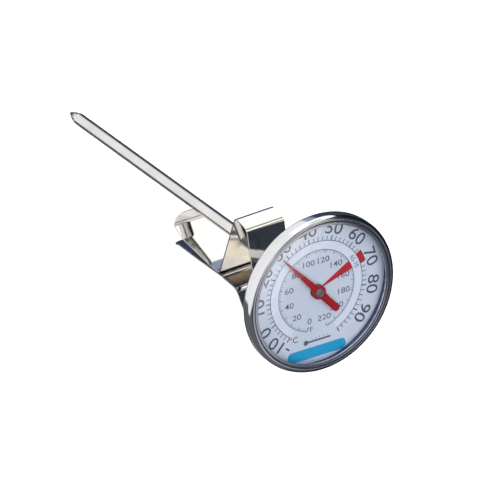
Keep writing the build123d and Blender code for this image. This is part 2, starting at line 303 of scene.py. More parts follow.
def spun_noise(tree, lines_per_m, detail=3.0):
    """Noise in rings about the stem axis, as a lathe or a spinning tool leaves."""
    source = node(tree, "ShaderNodeTexCoord").outputs["Object"]
    split = node(tree, "ShaderNodeSeparateXYZ")
    flat = node(tree, "ShaderNodeCombineXYZ")
    length = node(tree, "ShaderNodeVectorMath", operation="LENGTH")
    pair = node(tree, "ShaderNodeCombineXYZ")
    scaled = node(tree, "ShaderNodeVectorMath", operation="SCALE")
    scaled.inputs["Scale"].default_value = lines_per_m
    noise = node(tree, "ShaderNodeTexNoise", detail=detail)
    noise.inputs["Scale"].default_value = 1.0
    tree.links.new(source, split.inputs["Vector"])
    tree.links.new(split.outputs["X"], flat.inputs["X"])
    tree.links.new(split.outputs["Y"], flat.inputs["Y"])
    tree.links.new(flat.outputs["Vector"], length.inputs[0])
    tree.links.new(length.outputs["Value"], pair.inputs["X"])
    tree.links.new(split.outputs["Z"], pair.inputs["Y"])
    tree.links.new(pair.outputs["Vector"], scaled.inputs["Vector"])
    tree.links.new(scaled.outputs["Vector"], noise.inputs["Vector"])
    return noise.outputs["Fac"]


def drive(tree, factor, socket, low, high):
    """Sends a noise to a number socket as low to high."""
    spread = node(tree, "ShaderNodeMapRange")
    spread.inputs["From Min"].default_value = NOISE_LOW
    spread.inputs["From Max"].default_value = NOISE_HIGH
    spread.inputs["To Min"].default_value = low
    spread.inputs["To Max"].default_value = high
    tree.links.new(factor, spread.inputs["Value"])
    tree.links.new(spread.outputs["Result"], socket)


def tint(tree, factor, socket, dark, light):
    """Sends a noise to a colour socket as dark to light."""
    ramp = node(tree, "ShaderNodeValToRGB")
    ramp.color_ramp.elements[0].position = NOISE_LOW
    ramp.color_ramp.elements[0].color = (*dark, 1)
    ramp.color_ramp.elements[1].position = NOISE_HIGH
    ramp.color_ramp.elements[1].color = (*light, 1)
    tree.links.new(factor, ramp.inputs["Fac"])
    tree.links.new(ramp.outputs["Color"], socket)


def bump(tree, factor, shader, depth):
    """Raises the surface by up to depth metres where the factor is high."""
    relief = node(tree, "ShaderNodeBump")
    relief.inputs["Distance"].default_value = depth
    relief.inputs["Strength"].default_value = 1.0
    tree.links.new(factor, relief.inputs["Height"])
    tree.links.new(relief.outputs["Normal"], shader.inputs["Normal"])


def spun_steel(name, colour=(0.80, 0.80, 0.82), low=0.07, high=0.15, depth=1.5e-7):
    """Polished sheet steel with faint rings from spinning and soft handling smears."""
    material, tree, shader = principled(name, colour, low, 1.0)
    rings = spun_noise(tree, 9000)
    smears = stretched_noise(tree, (90, 90, 90), detail=5)
    blend = node(tree, "ShaderNodeMath", operation="MULTIPLY_ADD")
    blend.inputs[1].default_value = 0.5
    tree.links.new(rings, blend.inputs[0])
    half = node(tree, "ShaderNodeMath", operation="MULTIPLY")
    half.inputs[1].default_value = 0.5
    tree.links.new(smears, half.inputs[0])
    tree.links.new(half.outputs["Value"], blend.inputs[2])
    drive(tree, blend.outputs["Value"], shader.inputs["Roughness"], low, high)
    light = tuple(min(1, c * 1.04) for c in colour)
    dark = tuple(c * 0.95 for c in colour)
    tint(tree, smears, shader.inputs["Base Color"], dark, light)
    bump(tree, rings, shader, depth)
    return material


def drawn_steel(name, scale, coords="Object", colour=(0.80, 0.79, 0.77), low=0.16, high=0.3, depth=2e-7):
    """Steel with fine lines along the way that it was drawn or rolled."""
    material, tree, shader = principled(name, colour, low, 1.0)
    lines = stretched_noise(tree, scale, detail=6, coords=coords)
    smears = stretched_noise(tree, (120, 120, 120), detail=4)
    drive(tree, lines, shader.inputs["Roughness"], low, high)
    light = tuple(min(1, c * 1.05) for c in colour)
    dark = tuple(c * 0.93 for c in colour)
    tint(tree, smears, shader.inputs["Base Color"], dark, light)
    bump(tree, lines, shader, depth)
    return material


def dial_paint():
    """Silvery lavender paint with a fine metal flake."""
    material, tree, shader = principled("dial_paint", (0.62, 0.66, 0.77), 0.42, 0.15)
    flake = stretched_noise(tree, (9000, 9000, 9000), detail=2)
    clouds = stretched_noise(tree, (60, 60, 60), detail=3)
    tint(tree, clouds, shader.inputs["Base Color"], (0.59, 0.63, 0.75), (0.65, 0.69, 0.80))
    drive(tree, flake, shader.inputs["Roughness"], 0.34, 0.5)
    bump(tree, flake, shader, 1e-6)
    return material


def ink(name, colour, spread=0.15, roughness=0.45):
    """Screen-printed ink with slightly uneven cover."""
    material, tree, shader = principled(name, colour, roughness)
    cover = stretched_noise(tree, (2500, 2500, 2500), detail=5)
    light = tuple(min(1, c * (1 + spread) + 0.01) for c in colour)
    dark = tuple(c * (1 - spread) for c in colour)
    tint(tree, cover, shader.inputs["Base Color"], dark, light)
    drive(tree, cover, shader.inputs["Roughness"], roughness - 0.08, roughness + 0.1)
    bump(tree, cover, shader, 2e-6)
    return material


def enamel_red():
    """Red stove enamel on the pointer, glossy, with a little orange peel."""
    material, tree, shader = principled("pointer_enamel", (0.31, 0.003, 0.007), 0.3, Coat_Weight=0.25)
    shader.inputs["Coat Roughness"].default_value = 0.12
    peel = stretched_noise(tree, (1800, 1800, 1800), detail=3)
    tint(tree, peel, shader.inputs["Base Color"], (0.28, 0.002, 0.005), (0.35, 0.006, 0.010))
    drive(tree, peel, shader.inputs["Roughness"], 0.24, 0.38)
    bump(tree, peel, shader, 3e-6)
    return material


def window_glass():
    """Clear flat window: lets light straight through and mirrors a share that grows at a glance."""
    material = bpy.data.materials.new("window_glass")
    material.use_nodes = True
    tree = material.node_tree
    tree.nodes.remove(tree.nodes["Principled BSDF"])
    clear = node(tree, "ShaderNodeBsdfTransparent")
    clear.inputs["Color"].default_value = (0.975, 0.985, 0.99, 1)
    mirror = node(tree, "ShaderNodeBsdfGlossy")
    fresnel = node(tree, "ShaderNodeFresnel")
    fresnel.inputs["IOR"].default_value = 1.5
    facing_out = node(tree, "ShaderNodeMath", operation="SUBTRACT")
    facing_out.inputs[0].default_value = 1.0
    share = node(tree, "ShaderNodeMath", operation="MULTIPLY")
    tree.links.new(node(tree, "ShaderNodeNewGeometry").outputs["Backfacing"], facing_out.inputs[1])
    tree.links.new(fresnel.outputs["Fac"], share.inputs[0])
    tree.links.new(facing_out.outputs["Value"], share.inputs[1])
    haze = stretched_noise(tree, (150, 150, 150), detail=4)
    drive(tree, haze, mirror.inputs["Roughness"], 0.006, 0.02)
    mix = node(tree, "ShaderNodeMixShader")
    output = tree.nodes["Material Output"]
    tree.links.new(share.outputs["Value"], mix.inputs["Fac"])
    tree.links.new(clear.outputs["BSDF"], mix.inputs[1])
    tree.links.new(mirror.outputs["BSDF"], mix.inputs[2])
    tree.links.new(mix.outputs["Shader"], output.inputs["Surface"])
    return material


def rubber():
    """Matte black rubber with a fine grain, for the lens gasket, and also the painted shade on the ring in
    the bezel's gap.
    """
    material, tree, shader = principled("gasket_rubber", (0.02, 0.02, 0.022), 0.7)
    grain = stretched_noise(tree, (4000, 4000, 4000), detail=4)
    tint(tree, grain, shader.inputs["Base Color"], (0.014, 0.014, 0.016), (0.03, 0.03, 0.033))
    drive(tree, grain, shader.inputs["Roughness"], 0.6, 0.85)
    bump(tree, grain, shader, 5e-6)
    return material


def moulded_plastic():
    """Milky moulded plastic, slightly see-through."""
    material, tree, shader = principled("seal_plastic", (0.75, 0.73, 0.68), 0.5, Subsurface_Weight=0.1)
    grain = stretched_noise(tree, (1500, 1500, 1500), detail=4)
    tint(tree, grain, shader.inputs["Base Color"], (0.70, 0.68, 0.62), (0.80, 0.78, 0.73))
    drive(tree, grain, shader.inputs["Roughness"], 0.42, 0.6)
    bump(tree, grain, shader, 3e-6)
    return material


STEM_STEEL = drawn_steel("stem_steel", (2600, 2600, 60), low=0.14, high=0.26)
TIP_STEEL = spun_steel("tip_steel", low=0.16, high=0.28, depth=4e-7)
CASE_STEEL = spun_steel("case_steel")
CLIP_STEEL = drawn_steel(
    "clip_steel", (40, 9000, 1), coords="UV", colour=(0.82, 0.80, 0.77), low=0.05, high=0.1, depth=1.2e-7
)
LIP_STEEL = spun_steel("lip_steel", (0.66, 0.66, 0.72), 0.12, 0.2, 1e-7)
NUT_STEEL = spun_steel("nut_steel", low=0.18, high=0.3, depth=6e-7)
BRASS = spun_steel("brass", (0.74, 0.52, 0.22), 0.2, 0.35, 5e-7)
BIMETAL = drawn_steel("bimetal", (3000, 3000, 3000), colour=(0.62, 0.58, 0.52), low=0.25, high=0.4)
CAP_STEEL = spun_steel("cap_steel", (0.42, 0.43, 0.47), 0.25, 0.38, 4e-7)
WALL_METAL = spun_steel("wall_metal", (0.10, 0.12, 0.20), 0.35, 0.5, 4e-7)
DIAL_PAINT = dial_paint()
BLACK_INK = ink("black_ink", (0.065, 0.07, 0.11))
GREY_INK = ink("grey_ink", (0.10, 0.11, 0.16))
RED_INK = ink("red_ink", (0.42, 0.011, 0.024))
BLUE_INK = ink("blue_ink", (0.012, 0.30, 0.57))
BAND_INK = ink("band_ink", (0.63, 0.67, 0.78), spread=0.03)
POINTER_RED = enamel_red()
GLASS = window_glass()
RUBBER_AND_PAINTED_SHADE = rubber()
PLASTIC = moulded_plastic()


def place(piece, body, material, slot, *nodes):
    """Gives a piece its material and body, and hides the CAD nodes that it stands for."""
    piece.data.materials.clear()
    piece.data.materials.append(material)
    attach(piece, body)
    if nodes:
        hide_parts(*nodes)


# ---------------------------------------------------------------- head
def build_case():
    """One spun sheet: boss, flat back, wall and rolled shoulder."""
    corners = (
        (BORE_R, BOSS_Z),
        (BOSS_R, BOSS_Z),
        (BOSS_R, BACK_Z),
        (CASE_R, BACK_Z),
        (CASE_R, RIM_TOP_Z),
        (RIM_R, RIM_TOP_Z),
    )
    path = rounded_path(corners, BEND_RADII)
    case = lathe("case_shell_visual", sheet_outline(path, SHEET), segments=HEAD_SEGMENTS)
    place(case, "head", CASE_STEEL, "polished_steel", "case_shell")


def build_bezel():
    """Lip ring that falls slightly outwards, and in the gap between it and the rolled shoulder a thin black
    ring that paints the shade of that gap.
    """
    lip_outer = RIM_R - GROOVE_WIDTH
    foot_outer = CASE_R - BEND_RADII[-1] - LIP_GAP
    groove_top = RIM_TOP_Z - SHEET
    groove_low = groove_top - GROOVE_DEPTH
    edge_z = BEZEL_TOP_Z - LIP_EDGE_R
    outline = [(LIP_R + LIP_CHAMFER, LENS_TOP_Z), (LIP_R, LENS_TOP_Z + LIP_CHAMFER)]
    outline += arc_points((LIP_R + LIP_EDGE_R, edge_z), LIP_EDGE_R, 180, 80)
    outline += arc_points((lip_outer - LIP_EDGE_R, edge_z - LIP_FALL), LIP_EDGE_R, 80, 0)
    outline += [(lip_outer, groove_low), (foot_outer, groove_low), (foot_outer, LENS_TOP_Z)]
    bezel = lathe("bezel_ring_visual", outline, segments=HEAD_SEGMENTS)
    place(bezel, "head", LIP_STEEL, "polished_steel", "bezel_ring")
    # painted shade: a thin black ring laid on the floor of the gap, standing in for the shadow that falls
    # there
    outline = [(lip_outer, groove_low), (foot_outer, groove_low)]
    outline += [(foot_outer, groove_top), (lip_outer, groove_top)]
    groove = lathe("bezel_gap_painted_shade", outline, segments=HEAD_SEGMENTS)
    place(groove, "head", RUBBER_AND_PAINTED_SHADE, "gasket_rubber")


def build_window():
    """Flat window with a small chamfer all round."""
    edge = WINDOW_EDGE
    outline = [(0, LENS_Z), (LENS_R - edge, LENS_Z), (LENS_R, LENS_Z + edge)]
    outline += [(LENS_R, LENS_TOP_Z - edge), (LENS_R - edge, LENS_TOP_Z), (0, LENS_TOP_Z)]
    window = lathe("window", outline, closed=False)
    place(window, "head", GLASS, "window_glass", "lens")


def build_dial():
    """Dial plate with softened edges at its rim and its hole."""
    edge, edge_z = DIAL_EDGE, DIAL_FACE_Z - DIAL_EDGE
    outline = [(DIAL_HOLE_R, DIAL_Z), (DIAL_R, DIAL_Z), (DIAL_R, edge_z), (DIAL_R - edge, DIAL_FACE_Z)]
    outline += [(DIAL_HOLE_R + edge, DIAL_FACE_Z), (DIAL_HOLE_R, edge_z)]
    dial = lathe("dial_plate_visual", outline)
    place(dial, "head", DIAL_PAINT, "dial_paint", "dial_plate")


# ---------------------------------------------------------------- print on the dial
def ring_sector(inner, outer, start, end):
    """Outline of a band between two radii, from start to end degrees clockwise."""
    steps = max(1, math.ceil(abs(end - start) / SECTOR_STEP_DEGREES))
    angles = [start + (end - start) * i / steps for i in range(steps + 1)]
    return [clockwise(a, outer) for a in angles] + [clockwise(a, inner) for a in reversed(angles)]


def tick(inner, outer, degrees, width):
    """Outline of a radial line of a given width."""
    x, y = clockwise(degrees, 1.0)
    side = Vector((y, -x)) * width / 2
    near, far = Vector((x, y)) * inner, Vector((x, y)) * outer
    return [tuple(p) for p in (near - side, far - side, far + side, near + side)]


def lettering(words, height, place_at, turn_degrees, thickness, widen=1.0):
    """Raised letters or numerals as a mesh in millimetres, of a given height, centre and clockwise turn."""
    curve = bpy.data.curves.new("lettering", "FONT")
    curve.body = words
    curve.extrude = LETTER_HALF_DEPTH
    curve.offset = LETTER_BOLD
    curve.resolution_u = 6
    holder = mesh_object("lettering", curve)
    graph = bpy.context.evaluated_depsgraph_get()
    mesh = bpy.data.meshes.new_from_object(holder.evaluated_get(graph))
    bpy.data.objects.remove(holder)
    xs = [v.co.x for v in mesh.vertices]
    ys = [v.co.y for v in mesh.vertices]
    scale = height / (max(ys) - min(ys))
    centre = Matrix.Translation((-(min(xs) + max(xs)) / 2, -(min(ys) + max(ys)) / 2, LETTER_HALF_DEPTH))
    size = Matrix.Diagonal((scale * widen, scale, thickness, 1))
    turn = Matrix.Rotation(-math.radians(turn_degrees), 4, "Z")
    mesh.transform(Matrix.Translation((*place_at, DIAL_FACE_Z)) @ turn @ size @ centre)
    return mesh


def print_piece(name, plates, texts, material):
    """One piece of print: plates as (outline, thickness) and ready meshes."""
    bm = bmesh.new()
    for outline, thickness in plates:
        add_plate(bm, outline, DIAL_FACE_Z, DIAL_FACE_Z + thickness)
    for mesh in texts:
        bm.from_mesh(mesh)
        bpy.data.meshes.remove(mesh)
    piece = mesh_object(name, to_mesh(name, bm))
    place(piece, "head", material, "dial_paint")


def celsius(value):
    """Degrees clockwise from twelve o'clock of a Celsius value."""
    return CELSIUS_ZERO + CELSIUS_STEP * value


def fahrenheit(value):
    """Degrees clockwise from twelve o'clock of a Fahrenheit value."""
    return FAHRENHEIT_ZERO + FAHRENHEIT_STEP * value


def circle_line(radius, width, start, end):
    """The line that a scale's ticks stand on, ready to print."""
    return ring_sector(radius - width / 2, radius + width / 2, start, end), INK_BLACK


def tick_size(sizes, value):
    """Length and width of a scale's tick at a value."""
    long_tick, short_tick = sizes
    return long_tick if value % LONG_TICK_EVERY == 0 else short_tick


def build_celsius_scale():
    """Outer scale: ticks every two degrees that point outwards, numerals turned with the dial."""
    start, end = celsius(CELSIUS_LOW), celsius(CELSIUS_HIGH)
    plates = [circle_line(CELSIUS_R, CELSIUS_LINE, start, end)]
    for value in range(CELSIUS_LOW, CELSIUS_HIGH + 1, TICK_EVERY):
        reach, width = tick_size(CELSIUS_TICKS, value)
        plates.append((tick(CELSIUS_R, CELSIUS_R + reach, celsius(value), width), INK_BLACK))
    texts = []
    for value in range(CELSIUS_LOW, CELSIUS_LAST_NUMERAL + 1, CELSIUS_NUMERAL_EVERY):
        turn = celsius(value) + (MINUS_SHIFT if value < 0 else 0.0)
        middle = clockwise(turn, NUMERAL_R)
        texts.append(lettering(str(value), NUMERAL_HEIGHT, middle, turn, INK_BLACK, NUMERAL_WIDEN))
    texts.append(lettering("°C", CELSIUS_SIGN_HEIGHT, CELSIUS_SIGN_AT, 0, INK_BLACK))
    print_piece("celsius_scale", plates, texts, BLACK_INK)


def build_fahrenheit_scale():
    """Inner scale: ticks every two degrees that point inwards, numerals upright."""
    start, end = fahrenheit(FAHRENHEIT_LOW), fahrenheit(FAHRENHEIT_HIGH)
    plates = [circle_line(FAHRENHEIT_R, FAHRENHEIT_LINE, start, end)]
    for value in range(FAHRENHEIT_LOW, FAHRENHEIT_HIGH + 1, TICK_EVERY):
        reach, width = tick_size(FAHRENHEIT_TICKS, value)
        plates.append((tick(FAHRENHEIT_R - reach, FAHRENHEIT_R, fahrenheit(value), width), INK_BLACK))
    texts = []
    for value in range(FAHRENHEIT_LOW, FAHRENHEIT_HIGH + 1, FAHRENHEIT_NUMERAL_EVERY):
        middle = clockwise(fahrenheit(value), SMALL_NUMERAL_R)
        texts.append(lettering(str(value), SMALL_NUMERAL_HEIGHT, middle, 0, INK_BLACK, SMALL_NUMERAL_WIDEN))
    texts.append(lettering("°F", FAHRENHEIT_SIGN_HEIGHT, FAHRENHEIT_SIGN_AT, 0, INK_BLACK))
    print_piece("fahrenheit_scale", plates, texts, GREY_INK)


def build_band():
    """Slightly lighter band between the two scales."""
    outline = ring_sector(FAHRENHEIT_R, CELSIUS_R, celsius(CELSIUS_LOW), celsius(CELSIUS_HIGH))
    print_piece("scale_band", [(outline, INK_BAND)], [], BAND_INK)


def build_zone():
    """The red working zone: a wedge from the centre, a block outside, and its two values."""
    start, end = celsius(ZONE_LOW), celsius(ZONE_HIGH)
    wedge = ring_sector(DIAL_HOLE_R + ZONE_GAP, FAHRENHEIT_R, start, end)
    block = ring_sector(CELSIUS_R, CELSIUS_R + ZONE_BLOCK, start, end)
    print_piece("zone_red", [(wedge, INK_ZONE), (block, INK_ZONE)], [], RED_INK)
    middle = (start + end) / 2
    label_r = (FAHRENHEIT_R + CELSIUS_R) / 2
    words = f"{ZONE_LOW:.0f}-{ZONE_HIGH:.0f}"
    label = lettering(words, ZONE_LABEL_HEIGHT, clockwise(middle, label_r), middle, INK_BLACK)
    print_piece("zone_label", [], [label], GREY_INK)


def rounded_bar(width, height, radius, middle):
    """Outline of a rectangle with round corners."""
    outline = []
    for quarter, (sx, sy) in enumerate(((1, 1), (-1, 1), (-1, -1), (1, -1))):
        centre = (middle[0] + sx * (width / 2 - radius), middle[1] + sy * (height / 2 - radius))
        outline += arc_points(centre, radius, 90 * quarter, 90 * quarter + 90)
    return outline


def build_badge():
    """Plain blue bar at six o'clock, and above it a small drawing of a thermometer."""
    bar = rounded_bar(*BADGE_SIZE, BADGE_AT)
    print_piece("badge_bar", [(bar, INK_COLOUR)], [], BLUE_INK)
    outlines = [rounded_bar(*ICON_TUBE, ICON_AT)]
    outlines.append(arc_points((ICON_BULB_X, ICON_AT[1]), ICON_BULB_R, 0, 345))
    outlines += [rounded_bar(*ICON_MARK, (x, ICON_MARK_Y)) for x in ICON_MARK_XS]
    print_piece("badge_icon", [(outline, INK_BLACK) for outline in outlines], [], GREY_INK)


# ---------------------------------------------------------------- pointer
def build_pointer():
    """Flat blade with a round tail and a disc under the cap, its edges softened."""
    root, tip, tail = POINTER_ROOT / 2, POINTER_TIP / 2, POINTER_TAIL / 2
    join = math.sqrt(POINTER_DISC_R**2 - root**2)
    tail_join = math.sqrt(POINTER_DISC_R**2 - tail**2)
    side = math.degrees(math.atan2(join, root))
    tail_side = math.degrees(math.atan2(tail_join, tail))
    outline = [(-tip, POINTER_TIP_R), (0, POINTER_TIP_R + tip * 0.5), (tip, POINTER_TIP_R)][::-1]
    outline += arc_points((0, 0), POINTER_DISC_R, 180 - side, 180 + tail_side)
    outline += arc_points((0, -(POINTER_TAIL_R - tail)), tail, 180, 360)
    outline += arc_points((0, 0), POINTER_DISC_R, -tail_side, side)
    bm = bmesh.new()
    add_plate(bm, outline, POINTER_Z, POINTER_TOP_Z)
    edges = [e for e in bm.edges if all(v.co.z > POINTER_TOP_Z - 1e-4 for v in e.verts)]
    bmesh.ops.bevel(bm, geom=edges, offset=POINTER_EDGE, segments=2, profile=0.5, affect="EDGES")
    bmesh.ops.rotate(bm, verts=bm.verts, matrix=Matrix.Rotation(-math.radians(POINTER_DEGREES), 3, "Z"))
    piece = mesh_object("pointer_visual", to_mesh("pointer_visual", bm, sharp=50))
    place(piece, "pointer", POINTER_RED, "pointer_red", "pointer")


def build_cap():
    """Domed cap over the hub, with a shallow turned ring near its edge."""
    low, crown_z, ring_z = POINTER_TOP_Z, CAP_TOP_Z - CAP_CROWN, CAP_TOP_Z - CAP_RING_DEPTH
    outline = [(0, low), (CAP_R - CAP_CHAMFER, low), (CAP_R, low + CAP_CHAMFER)]
    outline += arc_points((CAP_R - CAP_EDGE_R, crown_z - CAP_EDGE_R), CAP_EDGE_R, 0, 90)
    outline += [(CAP_RING_OUTER + 0.06, crown_z), (CAP_RING_OUTER, ring_z), (CAP_RING_INNER, ring_z)]
    outline += [(CAP_RING_INNER - 0.07, CAP_TOP_Z - 0.03), (0.3, CAP_TOP_Z), (0, CAP_TOP_Z)]
    cap = lathe("pointer_cap_visual", outline, segments=CAP_SEGMENTS, closed=False)
    place(cap, "pointer", CAP_STEEL, "turned_steel", "pointer_cap")


# ---------------------------------------------------------------- stem
def build_stem():
    """Plain drawn tube."""
    bore_r = STEM_R - TUBE_WALL
    outline = [(STEM_R, tube_low.z), (STEM_R, tube_high.z), (bore_r, tube_high.z), (bore_r, tube_low.z)]
    stem = lathe("stem_tube_visual", outline, segments=STEM_SEGMENTS)
    place(stem, "stem", STEM_STEEL, "stem_steel", "stem_tube")


def build_tip():
    """Swaged point: a faint shoulder where the tube closes, a barely convex cone and a blunt nose."""
    top_z = tube_low.z
    spigot_r = STEM_R - TUBE_WALL - TUBE_GAP
    cone_r, cone_z = STEM_R - CONE_STEP, top_z - CONE_START
    outline = [(0, top_z + SPIGOT_LENGTH), (spigot_r, top_z + SPIGOT_LENGTH), (spigot_r, top_z)]
    outline += [(STEM_R - SHOULDER_STEP, top_z), (STEM_R, top_z - SHOULDER_LENGTH), (cone_r, cone_z)]
    length = cone_z - (TIP_Z + NOSE_R)
    steps = 10
    for i in range(1, steps):
        share = i / steps
        radius = cone_r * (1 - share) + NOSE_R * share + CONE_SWELL * math.sin(math.pi * share)
        outline.append((radius, cone_z - length * share))
    outline += arc_points((0, TIP_Z + NOSE_R), NOSE_R, 0, -90)
    outline[-1] = (0, TIP_Z)
    tip = lathe("probe_tip_visual", outline, segments=STEM_SEGMENTS, closed=False)
    place(tip, "stem", TIP_STEEL, "stem_steel", "probe_tip")


# ---------------------------------------------------------------- clip
def on_leg(leg_z, lean, offset):
    """Height of a leg that crosses the stem axis at leg_z, at an offset from the axis."""
    return leg_z + offset * math.tan(math.radians(lean))


# corners of the strip as (offset, height), from the leaf's free end over both legs to the jaw's
CLIP_CORNERS = (
    (-3.1, -56.9),
    (-6.1, -56.6),
    (-8.55, -52.4),
    (-10.55, -38.5),
    (THROAT, on_leg(LEFT_LEG_Z, LEFT_LEG_LEAN, THROAT)),
    (TOP_LEFT, on_leg(LEFT_LEG_Z, LEFT_LEG_LEAN, TOP_LEFT)),
    (TOP_RIGHT, on_leg(RIGHT_LEG_Z, RIGHT_LEG_LEAN, TOP_RIGHT)),
    (HEEL, on_leg(RIGHT_LEG_Z, RIGHT_LEG_LEAN, HEEL)),
    (-18.0, -20.7),
    (-12.4, -24.5),
    (-11.75, -33.0),
    (-11.95, -44.0),
    (-11.9, -55.2),
    (-12.9, -58.5),
)
CLIP_RADII = (1.2, 3.0, 25.0, 1.6, 2.0, 2.2, 1.5, 4.0, 3.0, 12.0, 12.0, 3.0)


def with_ends_divided(path, start_r, end_r):
    """Adds points near a rounded end of a strip, so that its corners come out round."""

    def towards(a, b, radius):
        """Points from a towards b, close together at a."""
        length = (b[0] - a[0]).length
        steps = 8
        made = []
        for i in range(1, steps + 1):
            reach = radius * (1 - math.cos(math.pi / 2 * i / steps))
            if reach < length - 0.02:
                made.append((a[0].lerp(b[0], reach / length), a[1]))
        return made

    if start_r:
        path = [path[0], *towards(path[0], path[1], start_r), *path[1:]]
    if end_r:
        path = [*path[:-1], *reversed(towards(path[-1], path[-2], end_r)), path[-1]]
    return path


def strip(name, path, start_r=0.0, end_r=0.0):
    """Sweeps the clip's strip along a path, with soft edges, round end corners and UVs along it."""
    path = with_ends_divided(path, start_r, end_r)
    along = [0.0]
    for (a, _), (b, _) in zip(path, path[1:]):
        along.append(along[-1] + (b - a).length)
    bm = bmesh.new()
    uv = bm.loops.layers.uv.new("UVMap")
    rings = []
    for (point, normal), s in zip(path, along):
        half = CLIP_WIDTH / 2
        for radius, reach in ((start_r, s), (end_r, along[-1] - s)):
            if radius and reach < radius:
                half = min(half, CLIP_WIDTH / 2 - radius + math.sqrt(radius**2 - (radius - reach) ** 2))
        b, t = CLIP_EDGE, CLIP_SHEET
        section = ((b - half, 0), (half - b, 0), (half, b), (half, t - b))
        section += ((half - b, t), (b - half, t), (-half, t - b), (-half, b))
        ring = []
        for x, rise in section:
            place_at = point + normal * rise
            ring.append(bm.verts.new((x, place_at.x, place_at.y)))
        rings.append(ring)
    count = len(rings[0])
    for i, (low, high) in enumerate(zip(rings, rings[1:])):
        for k in range(count):
            after = (k + 1) % count
            face = bm.faces.new((low[k], low[after], high[after], high[k]))
            for loop, s in zip(face.loops, (along[i], along[i], along[i + 1], along[i + 1])):
                loop[uv].uv = (s * MM, (loop.vert.co.x + CLIP_WIDTH) * MM)
    bm.faces.new(rings[0][::-1])
    bm.faces.new(rings[-1])
    bmesh.ops.rotate(bm, verts=bm.verts, matrix=Matrix.Rotation(math.radians(CLIP_TURN), 3, "Z"))
    return mesh_object(name, to_mesh(name, bm))


def bore(piece, radius, low, high):
    """Cuts a round hole along the stem axis through a piece."""
    outline = [(0, low), (radius, low), (radius, high), (0, high)]
    cutter = lathe("cutter", outline, segments=HOLE_SEGMENTS, closed=False)
    cut = piece.modifiers.new("bore", "BOOLEAN")
    cut.object = cutter
    cut.operation = "DIFFERENCE"
    cut.solver = "EXACT"
    graph = bpy.context.evaluated_depsgraph_get()
    mesh = bpy.data.meshes.new_from_object(piece.evaluated_get(graph))
    piece.modifiers.clear()
    piece.data = mesh
    mesh.set_sharp_from_angle(angle=math.radians(SHARP_DEGREES))
    bpy.data.objects.remove(cutter)


def build_clip():
    """The strip in two pieces: legs and leaf ride the clip; heel and jaw are a second piece, left in place
    and attached to no body.
    """
    full = rounded_path(CLIP_CORNERS, CLIP_RADII)
    corner = Vector(CLIP_CORNERS[HEEL_CORNER])
    near_heel = [i for i, (point, _) in enumerate(full) if (point - corner).length < HEEL_REACH]
    bend = [i for i in near_heel if (full[i][1] - full[near_heel[0]][1]).length > 1e-4]
    first = bend[0] - 1
    spring = strip("clip_spring_visual", full[: first + 1], start_r=LEAF_CORNER_R)
    bore(spring, CLIP_HOLE_R, *CLIP_HOLE_REACH)
    place(spring, "clip", CLIP_STEEL, "polished_steel", "clip_spring")

    jaw = strip("clip_jaw_visual", full[first:], end_r=JAW_CORNER_R)
    jaw.data.materials.append(CLIP_STEEL)
    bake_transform(jaw)
    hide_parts("clip_jaw")


# ---------------------------------------------------------------- CAD nodes that stay
KEPT_NODES = {
    "spacer_ring": WALL_METAL,
    "lens_gasket": RUBBER_AND_PAINTED_SHADE,
    "pointer_hub": BRASS,
    "pointer_spindle": CAP_STEEL,
    "calibration_nut": NUT_STEEL,
    "seal_washer": PLASTIC,
    "spring_washer": NUT_STEEL,
    "stem_collar": NUT_STEEL,
    "upper_guide_bush": BRASS,
    "lower_guide_bush": BRASS,
    "coil_collet": BRASS,
    "coil_anchor": BRASS,
    "bimetal_coil": BIMETAL,
}


def finish_kept_nodes():
    """Gives the CAD nodes that aren't replaced their better materials."""
    for name, material in KEPT_NODES.items():
        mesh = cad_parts[name].data
        mesh.materials.clear()
        mesh.materials.append(material)


# ---------------------------------------------------------------- camera, floor and light
CAMERA_TARGET = Vector((-2.2, -2.2, -26.6))
CAMERA_DISTANCE = 1158.7
CAMERA_AZIMUTH, CAMERA_ELEVATION, CAMERA_ROLL = 135.05, 49.54, -1.2
CAMERA_LENS = 304.0

# the floor, the backdrop and the cards' radii are in metres
FLOOR_Z, FLOOR_HALF, BACKDROP_R = -0.17, 3.0, 4.0
WORLD_COLOUR, WORLD_STRENGTH = (0.62, 0.78, 1.0), 0.075
WHITE = (1, 1, 1)
SLATE = (0.86, 0.90, 1.0)
PALE_BLUE = (0.30, 0.38, 0.52)
DEEP_BLUE = (0.035, 0.055, 0.10)
VIOLET = (0.62, 0.70, 1.0)
DUSK = (0.7, 0.8, 1.0)
BROWN = (1.0, 0.78, 0.58)
GOLD = (1.0, 0.72, 0.42)
SHADE = (1.0, 0.96, 0.84)
CREAM = (1.0, 0.94, 0.80)

# low cards that grow brighter in steps from half past six round to half past four
RISE_START, RISE_STEP, RISE_COUNT = 255, 7.25, 8
RISE_STRENGTH, RISE_GROWTH = 0.18, 1.22
RISE_CARDS = tuple(
    (
        f"card_low_rise_{step}",
        (RISE_START + RISE_STEP * step, RISE_START + RISE_STEP * (step + 1)),
        (-78, -36),
        1.5,
        RISE_STRENGTH * RISE_GROWTH**step,
        SLATE,
    )
    for step in range(RISE_COUNT)
)
